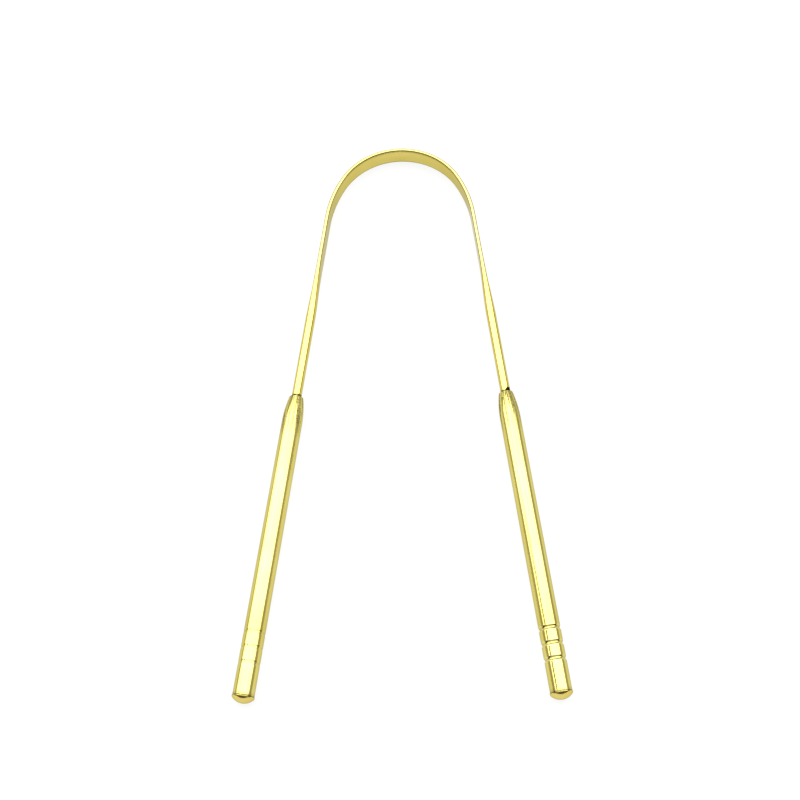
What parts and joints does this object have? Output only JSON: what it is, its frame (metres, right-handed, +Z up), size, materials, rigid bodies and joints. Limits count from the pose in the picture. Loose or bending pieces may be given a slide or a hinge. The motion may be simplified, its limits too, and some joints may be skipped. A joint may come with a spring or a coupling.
{
  "type": "tongue scraper",
  "caption": "U-shaped metal tongue scraper: a springy bow of wire, flattened over its crown into a blade, with a ringed tubular handle on each leg.",
  "frame": {"origin": "centre of the footprint, on the surface that the scraper lies on", "axes": "+X across from the left to the right handle, +Y from the handle ends towards the crown, +Z up, square to the plane of the bow"},
  "size_m": [0.0758, 0.147, 0.0052],
  "materials": {
    "bow_metal": "mirror-polished stainless spring steel with a pale gold coating",
    "handle_metal": "mirror-polished stainless tube with a pale gold coating",
    "plug_metal": "polished stainless plug with a pale gold coating"
  },
  "bodies": {
    "bow": {"scraper_bow": "bow_metal"},
    "left_arm": {"left_handle": "handle_metal", "left_end_plug": "plug_metal"},
    "right_arm": {"right_handle": "handle_metal", "right_end_plug": "plug_metal"}
  },
  "joints": [
    {"name": "right_flex", "type": "hinge", "parent": "bow", "child": "right_arm", "pos_m": [0.0134, 0.06184, 0.0026], "axis": [0, 0, 1], "range_deg": [-10, 8], "stiffness_Nm_per_rad": 1.76, "deforming": ["scraper_bow"]},
    {"name": "left_flex", "type": "hinge", "parent": "bow", "child": "left_arm", "pos_m": [-0.0134, 0.06184, 0.0026], "axis": [0, 0, -1], "range_deg": [-10, 8], "stiffness_Nm_per_rad": 1.76, "deforming": ["scraper_bow"]}
  ]
}
